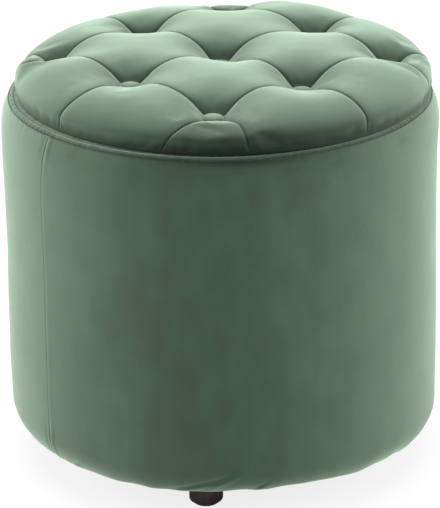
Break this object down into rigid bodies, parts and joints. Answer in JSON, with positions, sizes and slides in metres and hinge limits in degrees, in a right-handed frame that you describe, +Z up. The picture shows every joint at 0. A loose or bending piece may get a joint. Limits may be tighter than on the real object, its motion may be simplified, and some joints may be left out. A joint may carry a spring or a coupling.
{
  "type": "storage pouf",
  "caption": "Round velvet storage pouf: padded tub on short dark feet, with a diamond-tufted, buttoned lid that lifts off.",
  "frame": {"origin": "on the floor, under the middle of the tub", "axes": "+Z up along the lid's lift; the side shown by the picture faces -Y; rows of lid buttons line up with X and Y"},
  "size_m": [0.42, 0.42, 0.4225],
  "materials": {
    "green_velvet": "sage green velvet, dark face on and pale at grazing angles",
    "foam": "open-cell upholstery foam",
    "board": "plain fibreboard and plywood",
    "dark_stained_wood": "near-black stain, satin",
    "zinc_steel": "zinc plated",
    "grey_felt": "pressed felt",
    "black_dust_cloth": "thin spunbonded cloth",
    "grey_lining": "plain woven lining",
    "natural_twine": "waxed tufting twine"
  },
  "bodies": {
    "base": {"outer_cover": "green_velvet", "rim_piping": "green_velvet", "rim_facing": "green_velvet", "foam_wrap": "foam", "tub_shell": "board", "top_ring": "board", "batten_1": "board", "batten_2": "board", "batten_3": "board", "batten_4": "board", "batten_5": "board", "batten_6": "board", "floor_panel": "board", "inner_lining": "grey_lining", "inner_floor_pad": "grey_lining", "dust_cover": "black_dust_cloth", "foot_1": "dark_stained_wood", "foot_2": "dark_stained_wood", "foot_3": "dark_stained_wood", "foot_4": "dark_stained_wood", "foot_glide_1": "grey_felt", "foot_glide_2": "grey_felt", "foot_glide_3": "grey_felt", "foot_glide_4": "grey_felt", "foot_bolt_1": "zinc_steel", "foot_bolt_2": "zinc_steel", "foot_bolt_3": "zinc_steel", "foot_bolt_4": "zinc_steel", "tee_nut_1": "zinc_steel", "tee_nut_2": "zinc_steel", "tee_nut_3": "zinc_steel", "tee_nut_4": "zinc_steel"},
    "lid": {"lid_cover": "green_velvet", "lid_foam": "foam", "tuft_button_1": "green_velvet", "tuft_button_2": "green_velvet", "tuft_button_3": "green_velvet", "tuft_button_4": "green_velvet", "tuft_button_5": "green_velvet", "tuft_button_6": "green_velvet", "tuft_button_7": "green_velvet", "tuft_button_8": "green_velvet", "tuft_button_9": "green_velvet", "button_twine_1": "natural_twine", "button_twine_2": "natural_twine", "button_twine_3": "natural_twine", "button_twine_4": "natural_twine", "button_twine_5": "natural_twine", "button_twine_6": "natural_twine", "button_twine_7": "natural_twine", "button_twine_8": "natural_twine", "button_twine_9": "natural_twine", "lid_board": "board", "lid_underside_cloth": "black_dust_cloth", "locating_disc": "board", "disc_screw_1": "zinc_steel", "disc_screw_2": "zinc_steel", "disc_screw_3": "zinc_steel", "disc_screw_4": "zinc_steel"}
  },
  "joints": [
    {"name": "lid_lift", "type": "slide", "parent": "base", "child": "lid", "axis": [0, 0, 1], "range_m": [0, 0.25]}
  ]
}
